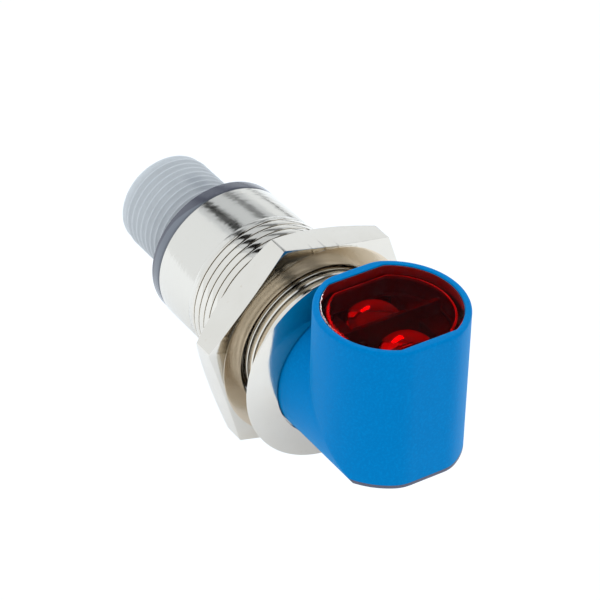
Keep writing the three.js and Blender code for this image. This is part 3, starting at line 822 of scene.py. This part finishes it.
window_mesh = bmesh.new()
inner_r, inner_half = window_r - 0.72, window_half - 0.72
outer_r, outer_half = window_r - 0.03, window_half - 0.03
window_rings = [(inner_r - 0.6, inner_half - 0.6, 0.3, window_top - plate_thick),
                (inner_r - 0.25, inner_half - 0.25, 0.45, window_top - plate_thick),
                (inner_r - 0.07, inner_half - 0.07, 0.55, window_top - plate_thick - 0.05),
                (inner_r, inner_half, 0.6, window_top - plate_thick - 0.22),
                (inner_r, inner_half, 0.6, window_skirt),
                (outer_r, outer_half, 0.47, window_skirt),
                (outer_r, outer_half, 0.47, window_top - 0.15),
                (outer_r - 0.04, outer_half - 0.04, 0.43, window_top - 0.04),
                (outer_r - 0.15, outer_half - 0.15, 0.4, window_top),
                (outer_r - 0.3, outer_half - 0.3, 0.35, window_top)]
first_ring = previous = add_ring(window_mesh, head_plan(*window_rings[0][:3]), window_rings[0][3])
for radius, half, corner, z in window_rings[1:]:
    ring = add_ring(window_mesh, head_plan(radius, half, corner), z)
    join_rings(window_mesh, previous, ring)
    previous = ring
window_mesh.faces.new(first_ring[::-1])
window_mesh.faces.new(previous)
# the outer wall and the skirt's foot take the edge with painted light, the fillet under the plate the painted glow
for face in window_mesh.faces:
    heights = [vertex.co.z / mm for vertex in face.verts]
    if max(heights) > window_top - 0.2 and min(heights) < window_skirt + 0.1:
        face.material_index = 1
    elif max(heights) < window_skirt + 0.01:
        face.material_index = 1
    elif window_top - plate_thick - 0.3 < min(heights) < window_top - plate_thick - 0.01:
        face.material_index = 2
window = finished_piece("window_cap", window_mesh, "sensor", ruby.material, 40)
window.data.materials.append(ruby_edge.material)
window.data.materials.append(ruby_fillet_painted_glow.material)
behind_window.objects.link(window)
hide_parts("window")

# ---- Optics -----------------------------------------------------------------------------------
# A black carrier with two wells and a divider holds the moulded lenses, one for the lamp and one
# for the receiver, each over a polarising film.
optics_black = Finish("optics_black", {"Specular IOR Level": 0.15})
optics_grain = optics_black.noise(3800, 3.0)
optics_black.feed("Base Color", optics_black.mix(optics_grain, (0.005, 0.005, 0.006), (0.014, 0.014, 0.015)))
optics_black.feed("Roughness", 0.28 + 0.2 * optics_grain)
optics_black.bump(optics_grain, 0.00001)
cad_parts["optics_carrier"].material_slots[0].material = optics_black.material

lens_clear = Finish("lens_clear", {"Base Color": (0.93, 0.95, 0.96, 1), "Transmission Weight": 1.0, "IOR": 1.6})
lens_ripple = lens_clear.noise(900, 2.0)
lens_clear.feed("Roughness", 0.01 + 0.03 * lens_ripple)
lens_clear.bump(lens_ripple, 0.00001)

lens_r = 3.2
lens_half = 2.8
lens_rim_thick = 0.8
lens_dome = 1.9
for role in ("sender", "receiver"):
    lens_low, lens_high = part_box(f"{role}_lens")
    lens_x = (lens_low.x + lens_high.x) / 2 / mm
    rim_top = lens_low.z / mm + lens_rim_thick
    ball_r = (lens_r ** 2 + lens_dome ** 2) / (2 * lens_dome)
    lens_mesh = bmesh.new()

    def lens_ring(share, z=None):
        ring = []
        for step in range(96):
            angle = 2 * math.pi * step / 96
            reach = min(lens_r, lens_half / max(abs(math.cos(angle)), 1e-6)) * share
            height = rim_top + lens_dome - ball_r + math.sqrt(ball_r ** 2 - reach ** 2) if z is None else z
            ring.append(lens_mesh.verts.new(((lens_x + reach * math.cos(angle)) * mm,
                                             reach * math.sin(angle) * mm, height * mm)))
        return ring

    under = lens_ring(0.98, rim_top - lens_rim_thick)
    lens_mesh.faces.new(under[::-1])
    previous = under
    lens_levels = [(1.0, rim_top - lens_rim_thick + 0.06), (1.0, rim_top - 0.02)]
    for share, z in lens_levels:
        ring = lens_ring(share, z)
        join_rings(lens_mesh, previous, ring)
        previous = ring
    for step in range(28):
        ring = lens_ring(1 - (step / 28) ** 1.2 * 0.999)
        join_rings(lens_mesh, previous, ring)
        previous = ring
    lens_mesh.faces.new(previous)
    lens = finished_piece(f"{role}_lens_moulded", lens_mesh, "sensor", lens_clear.material, 40)
    behind_window.objects.link(lens)
    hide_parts(f"{role}_lens")

film = Finish("polariser_film", {"Metallic": 1.0})
film_streak = film.noise(2500, 2.0, (0.1, 1, 1))
film.feed("Base Color", film.mix(film_streak, (0.75, 0.75, 0.77), (0.95, 0.95, 0.97)))
film.feed("Roughness", 0.30 + 0.25 * film_streak)
for role in ("sender", "receiver"):
    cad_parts[f"{role}_polariser"].material_slots[0].material = film.material

# ---- Seals and electronics --------------------------------------------------------------------
# Two rubber rings seal the spigots. The boards, their parts and the flexible link are closed in.


def plain_finish(name, dark, light, roughness, scale, metallic=0.0):
    look = Finish(name, {"Metallic": metallic})
    fleck = look.noise(scale, 3.0)
    look.feed("Base Color", look.mix(fleck, dark, light))
    look.feed("Roughness", roughness + 0.15 * fleck)
    look.bump(fleck, 0.000008)
    return look.material


hidden_finishes = [
    (("rear_seal", "head_seal"), ("seal_rubber", (0.012, 0.012, 0.013), (0.03, 0.03, 0.032), 0.6, 2500)),
    (("optics_board", "main_board"), ("board_green", (0.008, 0.075, 0.03), (0.014, 0.11, 0.045), 0.35, 1800)),
    (("sender_led",), ("led_body", (0.62, 0.60, 0.52), (0.75, 0.73, 0.66), 0.3, 3000)),
    (("receiver_chip", "controller_chip", "regulator", "output_driver"),
     ("chip_black", (0.014, 0.014, 0.015), (0.03, 0.03, 0.03), 0.45, 4000)),
    (("flex_link",), ("flex_amber", (0.42, 0.16, 0.02), (0.55, 0.23, 0.04), 0.35, 1200)),
    (("capacitor_1", "capacitor_2"), ("capacitor_tan", (0.33, 0.25, 0.15), (0.45, 0.35, 0.22), 0.4, 3000)),
    (("indicator_green",), ("led_green", (0.30, 0.62, 0.34), (0.42, 0.74, 0.45), 0.25, 3000)),
    (("indicator_yellow",), ("led_yellow", (0.75, 0.64, 0.22), (0.85, 0.74, 0.32), 0.25, 3000)),
]
for nodes, settings in hidden_finishes:
    look = plain_finish(*settings)
    for node in nodes:
        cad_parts[node].material_slots[0].material = look
